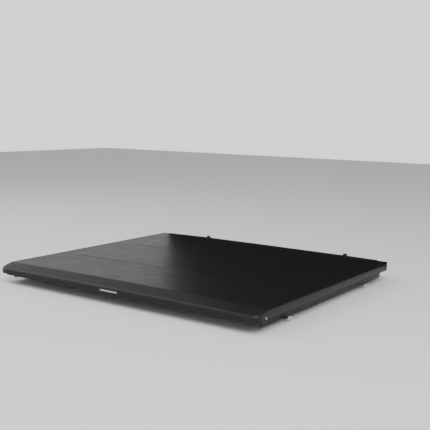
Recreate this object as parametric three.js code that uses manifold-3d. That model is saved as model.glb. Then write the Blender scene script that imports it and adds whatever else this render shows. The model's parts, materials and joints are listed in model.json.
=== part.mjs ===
// A soft roll-up tonneau cover for a pickup bed: a vinyl sheet over side rails, a header rail
// and two crossbows, clamped to the bed rails.  Millimetres: +X right, +Y towards the cab, +Z up.
// The sheet is cut into hinged panels, so that it rolls up and forward onto the header.
import * as THREE from "three";
import { mergeVertices } from "three/addons/utils/BufferGeometryUtils.js";
import Module from "manifold-3d";

const wasm = await Module();
wasm.setup();

// Overall sizes.  Heights are given above the seat, the top of the bed rails.
const WIDTH = 1720;
const LENGTH = 1480;
const HALF = WIDTH / 2;
const REAR_Y = -LENGTH / 2;
const FRONT_Y = LENGTH / 2;
const SEAT_Z = 56;
const GAP = 0.3;
const CROWN = 8;
const ARCH_STEPS = 20;

// Side rails: a box section with a ledge for the bows and a web that the clamps pull on.
const RAIL_TOP = 44;
const RAIL_BOTTOM = 4.3;
const RAIL_WALL = 3;
const BOX_WIDTH = 36;
const WEB_BOTTOM = -40;
const LEDGE_WIDTH = 14;
const LEDGE_BOTTOM = 10;
const LIP_TOP = 18;

// The sheet, its skirt and the rail ends.
const SHEET_UNDER = 45.8;
const SHEET_THICK = 2.4;
const SHEET_TOP = SHEET_UNDER + SHEET_THICK;
const SHEET_EDGE = 3;
const SKIRT_RUN = 84;
const SKIRT_BOTTOM = -4;
const SLOPE_END = 31;
const DROP_TOP = 22;
const FOLD_Y = REAR_Y + SKIRT_RUN;
const HEADER_DEPTH = 40;
const HEADER_Y = FRONT_Y - HEADER_DEPTH;
const CAP_WIDTH = 65;
const CAP_X = HALF - CAP_WIDTH;

// The rolling part: panels grow shorter towards the rear, so that the roll winds up as a spiral.
const PANELS = 10;
const ROLL_START_Y = 507;
const LAST_PANEL_SHARE = 0.28;

// Bows, clamps and the rear bar.
const BOW_Y = LENGTH / 6;
const BOW_DEPTH = 30;
const BOW_HEIGHT = 10;
const BOW_TOP = 45;
const CLAMP_Y = 430;
const CLAMP_WIDTH = 30;
const BOLT_INSET = 60;
const BOLT_RADIUS = 4;
const BAR_DEPTH = 34;
const BAR_REAR_Y = FOLD_Y + 4;
const BAR_BOTTOM = 24;
const BAR_HALF = 790;
const TUBE_WALL = 1.6;
const LATCH_X = 775;
const END_BLOCK_INNER = 752;
const END_BLOCK_OUTER = 812;
const LATCH_LENGTH = 45;
const KNOB_X = { left: -445, right: 585 };
const STRAP_X = 300;

const vinyl = { color: 0x141617, roughness: 0.48, metalness: 0.0 };
const railCoat = { color: 0x2c2f31, roughness: 0.45, metalness: 0.3 };
const aluminium = { color: 0xa9adb0, roughness: 0.4, metalness: 0.9 };
const zincSteel = { color: 0x8f9396, roughness: 0.35, metalness: 0.9 };
const rubber = { color: 0x0b0b0c, roughness: 0.85, metalness: 0.0 };
const plastic = { color: 0x191a1b, roughness: 0.6, metalness: 0.0 };
const webbing = { color: 0x101112, roughness: 0.9, metalness: 0.0 };
const label = { color: 0xc9cac6, roughness: 0.8, metalness: 0.0 };

const cover = new THREE.Group();
cover.position.z = SEAT_Z;

function crown(x) {
  return CROWN * (1 - (x / HALF) ** 2);
}

function add(name, geometry, look) {
  const mesh = new THREE.Mesh(geometry, new THREE.MeshStandardMaterial(look));
  mesh.name = name;
  cover.add(mesh);
}

function outline(points) {
  return new THREE.Shape(points.map(([x, y]) => new THREE.Vector2(x, y)));
}

// A hole's outline, wound the way round that ExtrudeGeometry needs.
function holeOutline(points) {
  const ring = points.map(([x, y]) => new THREE.Vector2(x, y));
  return new THREE.Path(THREE.ShapeUtils.isClockWise(ring) ? ring.reverse() : ring);
}

// Raises each vertex to follow the crown; share(z) says how much of it a height takes.
function arch(geometry, share = () => 1) {
  const position = geometry.getAttribute("position");
  for (let i = 0; i < position.count; i++) {
    const z = position.getZ(i);
    position.setZ(i, z + crown(position.getX(i)) * share(z));
  }
  return geometry;
}

// A box from its lowest corner to its highest, cut into steps across the width.
function box(low, high, steps = 1) {
  const size = high.map((value, i) => value - low[i]);
  const geometry = new THREE.BoxGeometry(...size, steps, 1, 1);
  return geometry.translate(...low.map((value, i) => value + size[i] / 2));
}

// A (y, z) section swept across the width from x = -half to +half.
function acrossWidth(shape, half, steps = 1) {
  const geometry = new THREE.ExtrudeGeometry(shape, { depth: 2 * half, steps, bevelEnabled: false });
  const turn = new THREE.Matrix4().makeBasis(
    new THREE.Vector3(0, 1, 0),
    new THREE.Vector3(0, 0, 1),
    new THREE.Vector3(1, 0, 0),
  );
  return geometry.applyMatrix4(turn).translate(-half, 0, 0);
}

// An (inset, z) section swept along Y; inset is measured inwards from the outer face of a side.
function alongSide(side, points, yStart, yEnd, hole = null) {
  const place = ([inset, z]) => [side * (HALF - inset), z];
  const shape = outline(points.map(place));
  if (hole) shape.holes.push(holeOutline(hole.map(place)));
  const geometry = new THREE.ExtrudeGeometry(shape, { depth: yEnd - yStart, bevelEnabled: false });
  return geometry.rotateX(Math.PI / 2).translate(0, yEnd, 0);
}

function upright(shape, zStart, zEnd, curveSegments = 8) {
  const options = { depth: zEnd - zStart, bevelEnabled: false, curveSegments };
  return new THREE.ExtrudeGeometry(shape, options).translate(0, 0, zStart);
}

function rod(radius, x, y, zStart, zEnd, sides = 16) {
  const geometry = new THREE.CylinderGeometry(radius, radius, zEnd - zStart, sides);
  return geometry.rotateX(Math.PI / 2).translate(x, y, (zStart + zEnd) / 2);
}

function rodAlongX(radius, xStart, xEnd, y, z, sides = 16) {
  const geometry = new THREE.CylinderGeometry(radius, radius, Math.abs(xEnd - xStart), sides);
  return geometry.rotateZ(Math.PI / 2).translate((xStart + xEnd) / 2, y, z);
}

function toSolid(geometry) {
  const plain = geometry.clone();
  plain.deleteAttribute("normal");
  plain.deleteAttribute("uv");
  const merged = mergeVertices(plain, 1e-4);
  return new wasm.Manifold(
    new wasm.Mesh({
      numProp: 3,
      vertProperties: merged.getAttribute("position").array,
      triVerts: new Uint32Array(merged.index.array),
    }),
  );
}

function toGeometry(solid) {
  const mesh = solid.getMesh();
  return new THREE.BufferGeometry()
    .setAttribute("position", new THREE.BufferAttribute(new Float32Array(mesh.vertProperties), 3))
    .setIndex(new THREE.BufferAttribute(new Uint32Array(mesh.triVerts), 1));
}

function cut(geometry, ...tools) {
  return toGeometry(tools.reduce((solid, tool) => solid.subtract(toSolid(tool)), toSolid(geometry)));
}

function join(geometry, ...others) {
  return toGeometry(others.reduce((solid, other) => solid.add(toSolid(other)), toSolid(geometry)));
}

// A rectangular tube across the width, open at its ends: its (y, z) corners and its wall.
function tubeAcross(low, high, wall, half) {
  const rectangle = (inset) => [
    [low[0] + inset, low[1] + inset],
    [high[0] - inset, low[1] + inset],
    [high[0] - inset, high[1] - inset],
    [low[0] + inset, high[1] - inset],
  ];
  const section = outline(rectangle(0));
  section.holes.push(holeOutline(rectangle(wall)));
  return arch(acrossWidth(section, half, ARCH_STEPS));
}

function overlapOf(a, b) {
  return toGeometry(toSolid(a).intersect(toSolid(b)));
}

// ---- Side rails, their seals and the hook tape that holds the sheet's edges ----
const RAIL_REAR_Y = FOLD_Y + GAP;
const RAIL_FRONT_Y = HEADER_Y - 1 - GAP;

function addSideRail(side, sideName) {
  const inner = BOX_WIDTH - RAIL_WALL;
  const ledgeEnd = BOX_WIDTH + LEDGE_WIDTH;
  const lip = 2.5;
  const section = [
    [0, RAIL_BOTTOM],
    [0, RAIL_TOP - 5],
    [5, RAIL_TOP],
    [BOX_WIDTH, RAIL_TOP],
    [BOX_WIDTH, LEDGE_BOTTOM + RAIL_WALL],
    [ledgeEnd - lip, LEDGE_BOTTOM + RAIL_WALL],
    [ledgeEnd - lip, LIP_TOP],
    [ledgeEnd, LIP_TOP],
    [ledgeEnd, LEDGE_BOTTOM],
    [BOX_WIDTH, LEDGE_BOTTOM],
    [BOX_WIDTH, WEB_BOTTOM],
    [inner, WEB_BOTTOM],
    [inner, RAIL_BOTTOM],
  ];
  const hollow = [
    [RAIL_WALL, RAIL_BOTTOM + RAIL_WALL],
    [RAIL_WALL, RAIL_TOP - 6.5],
    [6.5, RAIL_TOP - RAIL_WALL],
    [inner, RAIL_TOP - RAIL_WALL],
    [inner, RAIL_BOTTOM + RAIL_WALL],
  ];
  add("rail_" + sideName, alongSide(side, section, RAIL_REAR_Y, RAIL_FRONT_Y, hollow), railCoat);

  const seal = [
    [2, 0],
    [2, RAIL_BOTTOM - GAP],
    [32, RAIL_BOTTOM - GAP],
    [32, 0],
  ];
  add("rail_seal_" + sideName, alongSide(side, seal, RAIL_REAR_Y, RAIL_FRONT_Y), rubber);

  const tape = [
    [6, RAIL_TOP + GAP],
    [6, SHEET_UNDER - GAP],
    [32, SHEET_UNDER - GAP],
    [32, RAIL_TOP + GAP],
  ];
  add("hook_strip_" + sideName, alongSide(side, tape, RAIL_REAR_Y, RAIL_FRONT_Y), webbing);
}

// ---- Corner pieces ----
const SCREW_Y = REAR_Y + 77;
const SCREW_Z = 10;
const SCREW_HEAD_RADIUS = 6.5;
const CAP_CORNER_RADIUS = 55;

// The rear caps carry on the slope and the drop of the skirt to the sides.
function addRearCap(side, sideName) {
  const yFront = FOLD_Y - GAP;
  const outer = HALF;
  const plan = new THREE.Shape();
  plan.moveTo(side * CAP_X, yFront);
  plan.lineTo(side * outer, yFront);
  plan.lineTo(side * outer, REAR_Y + CAP_CORNER_RADIUS);
  plan.quadraticCurveTo(side * outer, REAR_Y, side * (outer - CAP_CORNER_RADIUS), REAR_Y);
  plan.lineTo(side * CAP_X, REAR_Y);
  plan.closePath();
  const slope = outline([
    [REAR_Y - 1, 0],
    [REAR_Y - 1, DROP_TOP],
    [REAR_Y, DROP_TOP],
    [REAR_Y + 2, DROP_TOP + 5],
    [REAR_Y + 9, SLOPE_END],
    [yFront, SHEET_TOP],
    [yFront + 1, SHEET_TOP],
    [yFront + 1, 0],
  ]);
  const block = overlapOf(upright(plan, -1, SHEET_TOP + 5), acrossWidth(slope, HALF + 5));
  const face = side * HALF;
  const pocket = rodAlongX(SCREW_HEAD_RADIUS + 1, face - side * 3, face + side * 3, SCREW_Y, SCREW_Z);
  const hole = rodAlongX(3 + GAP, face - side * 26, face, SCREW_Y, SCREW_Z);
  add("rear_corner_cap_" + sideName, cut(block, pocket, hole), plastic);

  const headInside = face - side * (3 - GAP);
  const head = rodAlongX(SCREW_HEAD_RADIUS, headInside, face - side * GAP, SCREW_Y, SCREW_Z);
  const shank = rodAlongX(3, face - side * 25, face - side, SCREW_Y, SCREW_Z);
  add("rear_cap_screw_" + sideName, join(head, shank), zincSteel);
}

function addFrontCorner(side, sideName) {
  const yRear = HEADER_Y - 1;
  const radius = 24;
  const plan = new THREE.Shape();
  plan.moveTo(side * CAP_X, yRear);
  plan.lineTo(side * HALF, yRear);
  plan.lineTo(side * HALF, FRONT_Y - radius);
  plan.quadraticCurveTo(side * HALF, FRONT_Y, side * (HALF - radius), FRONT_Y);
  plan.lineTo(side * CAP_X, FRONT_Y);
  plan.closePath();
  add("front_corner_cap_" + sideName, upright(plan, 0, SHEET_UNDER - GAP), plastic);

  const webX = side * (HALF - BOX_WIDTH - GAP);
  const inX = webX - side * 3;
  const farX = webX - side * 85;
  const yFace = yRear - GAP;
  const angle = outline([
    [webX, yFace],
    [webX, yFace - 60],
    [inX, yFace - 60],
    [inX, yFace - 3],
    [farX, yFace - 3],
    [farX, yFace],
  ]);
  add("corner_bracket_" + sideName, upright(angle, 20, 40), aluminium);
}

// ---- Header: a box rail across the cab end, with the strip that holds the sheet down ----
const STRIP_REAR_Y = FRONT_Y - 28;
const STRIP_FRONT_Y = FRONT_Y - 4;
const STRIP_BOTTOM = SHEET_TOP + GAP;
const STRIP_TOP = STRIP_BOTTOM + 3;
const KNOB_Y = (STRIP_REAR_Y + STRIP_FRONT_Y) / 2;

function addHeader() {
  const half = CAP_X - GAP;
  const rail = tubeAcross([HEADER_Y, RAIL_BOTTOM], [FRONT_Y, RAIL_TOP], RAIL_WALL, half);
  add("header_rail", rail, railCoat);

  const sealLow = [-half, HEADER_Y + 2, 0];
  const sealHigh = [half, FRONT_Y - 2, RAIL_BOTTOM - GAP];
  const sealTopOnly = (z) => (z > 0 ? 1 : 0);
  add("header_seal", arch(box(sealLow, sealHigh, ARCH_STEPS), sealTopOnly), rubber);

  const strip = arch(
    box([-half, STRIP_REAR_Y, STRIP_BOTTOM], [half, STRIP_FRONT_Y, STRIP_TOP], ARCH_STEPS),
  );
  const holes = Object.values(KNOB_X).map((x) =>
    rod(BOLT_RADIUS + GAP, x, KNOB_Y, SHEET_TOP, SHEET_TOP + 2 * CROWN),
  );
  add("front_clamp_strip", cut(strip, ...holes), railCoat);
}

// Quarter-turn knobs that lock the header down through the strip.
const KNOB_RADIUS = 14.5;
const KNOB_HEIGHT = 12;

function addHeaderKnob(sideName) {
  const x = KNOB_X[sideName];
  const base = STRIP_TOP + GAP + crown(x);
  const profile = [
    [0, 0],
    [KNOB_RADIUS - 1.5, 0],
    [KNOB_RADIUS, 2],
    [KNOB_RADIUS - 1.5, 5],
    [KNOB_RADIUS - 1.5, KNOB_HEIGHT - 2],
    [KNOB_RADIUS - 3.5, KNOB_HEIGHT],
    [0, KNOB_HEIGHT],
  ].map(([r, z]) => new THREE.Vector2(r, z));
  const grip = new THREE.LatheGeometry(profile, 24);
  grip.rotateX(Math.PI / 2).translate(x, KNOB_Y, base);
  const stud = rod(BOLT_RADIUS, x, KNOB_Y, base - 3, base + 2);
  add("header_knob_" + sideName, join(grip, stud), plastic);
}

// Webbing that ties the roll, folded against the header in its buckle.
function addStorageStrap(side, sideName) {
  const x = side * STRAP_X;
  const thick = 2;
  const yBack = HEADER_Y - GAP;
  const bottom = 10;
  const top = 40;
  const low = bottom + crown(STRAP_X);
  const high = top + crown(STRAP_X);
  const folded = outline([
    [yBack, low],
    [yBack, high],
    [yBack - thick, high],
    [yBack - thick, low + thick],
    [yBack - 2 * thick, low + thick],
    [yBack - 2 * thick, high],
    [yBack - 4 * thick, high],
    [yBack - 4 * thick, low + 8],
    [yBack - 3 * thick, low + 8],
    [yBack - 3 * thick, high - thick],
    [yBack - 2.5 * thick, high - thick],
    [yBack - 2.5 * thick, low],
  ]);
  const half = 12.5;
  add("storage_strap_" + sideName, acrossWidth(folded, half).translate(x, 0, 0), webbing);

  const yFace = yBack - 4 * thick - GAP;
  const plate = box([x - 17, yFace - 6, low + 2], [x + 17, yFace, low + 30]);
  const slot = box([x - 11, yFace - 7, low + 19], [x + 11, yFace + 1, low + 24]);
  add("strap_buckle_" + sideName, cut(plate, slot), plastic);
}

// ---- Clamps: a bracket on the web, a jaw under the bed rail's lip and the bolt that draws it up ----
const FOOT_TOP = 3;
const FOOT_BOTTOM = -2;
const FOOT_END = 75;
const JAW_TOP = -42;
const JAW_BOTTOM = -50;
const JAW_TIP_TOP = -30;
const BOLT_TOP = 22;

function addClamp(side, y, name) {
  const half = CLAMP_WIDTH / 2;
  const boltX = side * (HALF - BOLT_INSET);
  const legStart = BOX_WIDTH + GAP;
  const bracket = [
    [legStart, WEB_BOTTOM + 2],
    [legStart, FOOT_TOP + 4],
    [legStart + 3, FOOT_TOP + 4],
    [legStart + 6, FOOT_TOP],
    [FOOT_END, FOOT_TOP],
    [FOOT_END, FOOT_BOTTOM],
    [legStart + 6, FOOT_BOTTOM],
    [legStart + 3, FOOT_BOTTOM - 3],
    [legStart + 3, WEB_BOTTOM + 2],
  ];
  const nut = rod(7.5, boltX, y, FOOT_TOP - 1, FOOT_TOP + 6, 6);
  const boltHole = rod(BOLT_RADIUS + GAP + 0.1, boltX, y, JAW_BOTTOM - 2, BOLT_TOP);
  const plate = join(alongSide(side, bracket, y - half, y + half), nut);
  add("clamp_bracket_" + name, cut(plate, boltHole), aluminium);

  const jaw = [
    [8, JAW_BOTTOM + 3],
    [8, JAW_TIP_TOP - 3],
    [11, JAW_TIP_TOP],
    [16, JAW_TIP_TOP],
    [19, JAW_TOP],
    [BOLT_INSET + 9, JAW_TOP],
    [BOLT_INSET + 9, FOOT_BOTTOM - 6],
    [FOOT_END, FOOT_BOTTOM - 6],
    [FOOT_END, JAW_BOTTOM + 3],
    [FOOT_END - 3, JAW_BOTTOM],
    [11, JAW_BOTTOM],
  ];
  add("clamp_jaw_" + name, cut(alongSide(side, jaw, y - half, y + half), boltHole), aluminium);

  const head = rod(7.5, boltX, y, -SEAT_Z, JAW_BOTTOM - GAP, 6);
  const shank = rod(BOLT_RADIUS, boltX, y, -SEAT_Z + 1, BOLT_TOP);
  add("clamp_bolt_" + name, join(head, shank), zincSteel);
}

// ---- Bows: arched crossbars on plastic shoes that slide along the rail ledges ----
function addBow(y, name) {
  const inset = BOX_WIDTH + 1;
  const half = HALF - inset;
  const low = [y - BOW_DEPTH / 2, BOW_TOP - BOW_HEIGHT];
  const high = [y + BOW_DEPTH / 2, BOW_TOP];
  add("bow_" + name, tubeAcross(low, high, TUBE_WALL, half), aluminium);

  const legEnd = inset + 9.5;
  const legBottom = LEDGE_BOTTOM + RAIL_WALL + GAP;
  const legTop = BOW_TOP - BOW_HEIGHT - GAP;
  const shoe = [
    [inset, legBottom],
    [inset, legTop],
    [inset + 60, legTop],
    [inset + 60, legTop - 4],
    [legEnd + 8, legTop - 4],
    [legEnd, legTop - 12],
    [legEnd, legBottom],
  ];
  for (const [side, sideName] of [[-1, "left"], [1, "right"]]) {
    const geometry = alongSide(side, shoe, y - 20, y + 20);
    add("bow_shoe_" + name + "_" + sideName, geometry, plastic);
  }
}

// ---- Sheet ----
function sheetPiece(yStart, yEnd) {
  const half = HALF - SHEET_EDGE;
  return arch(box([-half, yStart, SHEET_UNDER], [half, yEnd, SHEET_TOP], ARCH_STEPS));
}

function panelLengths() {
  const shares = [];
  for (let i = 0; i < PANELS; i++) {
    shares.push(1 - (1 - LAST_PANEL_SHARE) * (i / (PANELS - 1)) ** 2);
  }
  const total = shares.reduce((sum, share) => sum + share, 0);
  return shares.map((share) => (share / total) * (ROLL_START_Y - FOLD_Y));
}

function addSheet() {
  add("tarp_front", sheetPiece(ROLL_START_Y + GAP, FRONT_Y - 2), vinyl);
  let y = ROLL_START_Y;
  panelLengths().forEach((length, i) => {
    const name = "tarp_panel_" + String(i + 1).padStart(2, "0");
    add(name, sheetPiece(y - length + GAP, y), vinyl);
    y -= length;
  });
}

// ---- Rear end of the sheet: the skirt with its seal and label, the rear bar and its latches ----
const SKIRT_HALF = CAP_X - GAP;
const LABEL_X = -20;
const LABEL_WIDTH = 130;
const LABEL_HEIGHT = 16;
const LABEL_THICK = 1;
const LABEL_BOTTOM = 8;
const DROP_Y = REAR_Y + LABEL_THICK + GAP;
const SKIRT_SEAL_DEPTH = 12;
const SKIRT_SEAL_HEIGHT = 2.6;

// The skirt slopes gently from the fold and then drops over the tailgate.
function addSkirt() {
  const innerY = DROP_Y + SHEET_THICK;
  const section = outline([
    [FOLD_Y - GAP, SHEET_TOP],
    [DROP_Y + 8, SLOPE_END],
    [DROP_Y + 2, DROP_TOP + 5],
    [DROP_Y, DROP_TOP],
    [DROP_Y, SKIRT_BOTTOM],
    [innerY, SKIRT_BOTTOM],
    [innerY, DROP_TOP - 1],
    [innerY + 1.6, DROP_TOP + 3],
    [innerY + 6.6, SLOPE_END - SHEET_THICK],
    [FOLD_Y - GAP, SHEET_UNDER],
  ]);
  const fadeOut = (z) => (z - SKIRT_BOTTOM) / (SHEET_TOP - SKIRT_BOTTOM);
  add("rear_skirt", arch(acrossWidth(section, SKIRT_HALF, ARCH_STEPS), fadeOut), vinyl);

  const sealY = innerY + GAP;
  const sealLow = [-SKIRT_HALF, sealY, 0];
  add("skirt_seal", box(sealLow, [SKIRT_HALF, sealY + SKIRT_SEAL_DEPTH, SKIRT_SEAL_HEIGHT]), rubber);

  // The label is sewn to the outside of the drop.
  const labelLow = [LABEL_X - LABEL_WIDTH / 2, REAR_Y, LABEL_BOTTOM];
  const labelHigh = [LABEL_X + LABEL_WIDTH / 2, REAR_Y + LABEL_THICK, LABEL_BOTTOM + LABEL_HEIGHT];
  add("label_tab", box(labelLow, labelHigh), label);
}

function addRearBar() {
  const barFrontY = BAR_REAR_Y + BAR_DEPTH;
  const barTop = SHEET_UNDER - GAP;
  const bar = tubeAcross([BAR_REAR_Y, BAR_BOTTOM], [barFrontY, barTop], TUBE_WALL, BAR_HALF);
  add("rear_bar", bar, aluminium);

  const y = BAR_REAR_Y + BAR_DEPTH / 2;
  for (const [side, sideName] of [[-1, "left"], [1, "right"]]) {
    const x = side * LATCH_X;
    const ends = [side * END_BLOCK_INNER, side * END_BLOCK_OUTER].sort((a, b) => a - b);
    const block = box([ends[0], BAR_REAR_Y, LIP_TOP + GAP], [ends[1], barFrontY, BAR_BOTTOM + 0.9]);
    const bore = rod(5 + GAP, x, y, LIP_TOP - 2, BAR_BOTTOM + 3, 24);
    add("bar_end_block_" + sideName, cut(block, bore), plastic);

    const finger = new THREE.Shape();
    const tip = -side * LATCH_LENGTH;
    finger.moveTo(0, -9);
    finger.lineTo(tip, -7);
    finger.lineTo(tip, 7);
    finger.lineTo(0, 9);
    finger.absarc(0, 0, 9, Math.PI / 2, Math.PI / 2 + side * -Math.PI, side > 0);
    const lever = upright(finger, 4, LEDGE_BOTTOM - 0.5).translate(x, y, 0);
    const shaft = rod(5, x, y, 5, BAR_BOTTOM + 0.5, 24);
    add("latch_" + sideName, join(lever, shaft), plastic);
  }
}

addHeader();
for (const [side, sideName] of [[-1, "left"], [1, "right"]]) {
  addSideRail(side, sideName);
  addRearCap(side, sideName);
  addFrontCorner(side, sideName);
  addHeaderKnob(sideName);
  addStorageStrap(side, sideName);
  addClamp(side, -CLAMP_Y, sideName + "_rear");
  addClamp(side, CLAMP_Y, sideName + "_front");
}
addBow(-BOW_Y, "rear");
addBow(BOW_Y, "front");
addSheet();
addSkirt();
addRearBar();

const root = new THREE.Group();
root.add(cover);

export default root;
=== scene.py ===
"""Looks of a soft roll-up tonneau cover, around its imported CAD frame. Metres, +Z up, +Y towards the cab."""
import json
import math

import bmesh
import bpy
import numpy as np
from mathutils import Matrix, Vector


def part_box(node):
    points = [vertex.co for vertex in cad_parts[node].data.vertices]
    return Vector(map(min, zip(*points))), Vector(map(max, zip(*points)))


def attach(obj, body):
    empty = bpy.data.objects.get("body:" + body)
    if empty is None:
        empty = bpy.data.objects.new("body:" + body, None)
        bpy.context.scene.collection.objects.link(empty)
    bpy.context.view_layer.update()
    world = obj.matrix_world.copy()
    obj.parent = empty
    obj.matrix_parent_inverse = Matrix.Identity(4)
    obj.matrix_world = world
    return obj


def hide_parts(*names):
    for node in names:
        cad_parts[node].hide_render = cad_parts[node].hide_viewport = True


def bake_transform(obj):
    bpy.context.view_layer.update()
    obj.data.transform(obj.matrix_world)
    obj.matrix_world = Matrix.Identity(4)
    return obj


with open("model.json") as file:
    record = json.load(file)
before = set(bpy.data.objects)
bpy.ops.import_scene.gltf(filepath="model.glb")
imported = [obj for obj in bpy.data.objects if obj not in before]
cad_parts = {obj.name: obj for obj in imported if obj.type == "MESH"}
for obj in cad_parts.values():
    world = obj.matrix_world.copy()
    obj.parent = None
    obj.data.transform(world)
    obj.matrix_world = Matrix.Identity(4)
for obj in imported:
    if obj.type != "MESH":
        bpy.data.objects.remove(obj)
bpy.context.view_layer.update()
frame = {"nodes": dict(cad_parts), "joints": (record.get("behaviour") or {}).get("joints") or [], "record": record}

bl_info = {
    "name": "Roll-up Tonneau Cover",
    "version": (1, 0, 0),
    "blender": (4, 5, 0),
    "location": "View3D > Sidebar > Cover",
    "description": "Builds the sheet, rails, clamps and fittings of a soft roll-up tonneau cover",
    "category": "Object",
}

SIDES = (("left", -1), ("right", 1))
BODY_OF = {n: b for b, ns in frame["record"]["behaviour"]["bodies"].items() for n in ns}
SLOT_OF = {p["node"]: p["material_slot"] for p in frame["record"]["subparts"]}
HINGES = [j["pos_m"][1] for j in frame["joints"] if j["name"].startswith("roll_")]
PANEL_BODIES = [j["child"] for j in frame["joints"] if j["name"].startswith("roll_")]
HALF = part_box("rail_right")[1].x
SHEET_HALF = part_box("tarp_front")[1].x
SHEET_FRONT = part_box("tarp_front")[1].y
SKIRT_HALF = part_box("rear_skirt")[1].x
FOLD_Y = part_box("rear_skirt")[1].y
SKIRT_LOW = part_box("rear_skirt")[0]
CROWN = 0.008
RIDGE_SPREAD = 0.023
TAUT_MARGIN = 0.05    # how far in from its side edges the cloth is held quite flat
TAUT_FADE = 0.12
HEM_RISE = 0.0005
HEM_STEP = 0.002
CURL_WIDTH = 0.005
CURL_RATE = 90
BROAD_RIPPLE = 0.00022
FINE_RIPPLE = 0.00012
STITCH_LIFT = 0.0001
STRIP_SCREW_SPAN = 0.72
STRIP_SCREW_PITCH = 0.16
KNOB_CLEARANCE = 0.03
STRIP_SCREW_PROFILE = [(0.0046, 0.0), (0.0046, 0.0007), (0.0038, 0.0018), (0.0026, 0.0023),
                       (0.0019, 0.0023), (0.0019, 0.0012), (0.0004, 0.0011)]    # (radius, height)
CAP_ROUND = 0.055
ROW_PITCH = 0.006
SLOPE = 0.229
SHOULDER = 0.013
THREAD_PITCH = 0.00125
THREAD_OUTER = 0.004
THREAD_ROOT = 0.0034
SHEET_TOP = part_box("tarp_front")[1].z - CROWN
BOW_YS = [(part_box("bow_" + e)[0].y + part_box("bow_" + e)[1].y) / 2 for e in ("rear", "front")]


# ---- Sizes and colours that a user may change ----
class CoverSizes(bpy.types.PropertyGroup):
    """Sizes of the sheet and its sewing"""
    cloth: bpy.props.FloatProperty(name="Cloth", description="Thickness of the coated cloth",
                                   default=0.0016, min=0.0005, unit="LENGTH")
    ridge: bpy.props.FloatProperty(name="Bow ridge", description="Height of the ridge over each bow",
                                   default=0.0018, min=0.0, unit="LENGTH")
    sag: bpy.props.FloatProperty(name="Sag", description="How far the cloth sinks between bows",
                                 default=0.0014, min=0.0, unit="LENGTH")
    hem: bpy.props.FloatProperty(name="Hem", description="Width of the doubled edge",
                                 default=0.026, min=0.0, unit="LENGTH")
    stitch: bpy.props.FloatProperty(name="Stitch", description="Pitch of the stitches",
                                    default=0.0055, min=0.002, unit="LENGTH")
    edge: bpy.props.FloatProperty(name="Edge round", description="Rounding of moulded and extruded edges",
                                  default=0.0007, min=0.0, unit="LENGTH")


class CoverColours(bpy.types.PropertyGroup):
    """Base colours of the finishes"""
    vinyl: bpy.props.FloatVectorProperty(name="Vinyl", description="Coated cloth", subtype="COLOR",
                                         size=3, default=(0.0038, 0.0042, 0.0047), min=0, max=1)
    rail: bpy.props.FloatVectorProperty(name="Rail coat", description="Powder coat on the rails",
                                        subtype="COLOR", size=3, default=(0.0105, 0.012, 0.013), min=0, max=1)
    plastic: bpy.props.FloatVectorProperty(name="Plastic", description="Moulded caps and knobs",
                                           subtype="COLOR", size=3, default=(0.0045, 0.0048, 0.0052), min=0, max=1)
    label: bpy.props.FloatVectorProperty(name="Label", description="Woven tab", subtype="COLOR",
                                         size=3, default=(0.012, 0.012, 0.0125), min=0, max=1)


class StageSettings(bpy.types.PropertyGroup):
    """Floor and light"""
    floor: bpy.props.FloatVectorProperty(name="Floor", description="Floor colour", subtype="COLOR",
                                         size=3, default=(0.74, 0.74, 0.73), min=0, max=1)
    sky: bpy.props.FloatProperty(name="Sky", description="Strength of the even light", default=1.45, min=0)


# ---- Shader groups ----
def new_group(name, inputs, outputs):
    tree = bpy.data.node_groups.new(name, "ShaderNodeTree")
    for label, value in inputs:
        tree.interface.new_socket(label, in_out="INPUT", socket_type="NodeSocketFloat").default_value = value
    for label in outputs:
        tree.interface.new_socket(label, in_out="OUTPUT", socket_type="NodeSocketFloat")
    nodes = tree.nodes
    return tree, nodes.new("NodeGroupInput"), nodes.new("NodeGroupOutput"), nodes.new("ShaderNodeTexCoord")


def math_node(tree, operation, a, b=0.0, clamp=False):
    node = tree.nodes.new("ShaderNodeMath")
    node.operation = operation
    node.use_clamp = clamp
    for socket, value in zip(node.inputs, (a, b)):
        if isinstance(value, (int, float)):
            socket.default_value = value
        else:
            tree.links.new(value, socket)
    return node.outputs[0]


def noise(tree, vector, scale, detail=3.0, roughness=0.5):
    node = tree.nodes.new("ShaderNodeTexNoise")
    tree.links.new(vector, node.inputs["Vector"])
    if isinstance(scale, (int, float)):
        node.inputs["Scale"].default_value = scale
    else:
        tree.links.new(scale, node.inputs["Scale"])
    node.inputs["Detail"].default_value = detail
    node.inputs["Roughness"].default_value = roughness
    return node.outputs["Fac"]


def grain_group():
    """Pebbled grain of coated cloth or a moulded surface."""
    tree, inlet, outlet, place = new_group("Grain", [("Scale", 900.0), ("Soft Scale", 14.0)], ["Height", "Tone"])
    cells = tree.nodes.new("ShaderNodeTexVoronoi")
    tree.links.new(place.outputs["Object"], cells.inputs["Vector"])
    tree.links.new(inlet.outputs["Scale"], cells.inputs["Scale"])
    fine = noise(tree, place.outputs["Object"], inlet.outputs["Scale"], 2.0)
    tree.links.new(math_node(tree, "ADD", cells.outputs["Distance"], fine), outlet.inputs["Height"])
    tree.links.new(noise(tree, place.outputs["Object"], inlet.outputs["Soft Scale"], 4.0), outlet.inputs["Tone"])
    return tree


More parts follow.
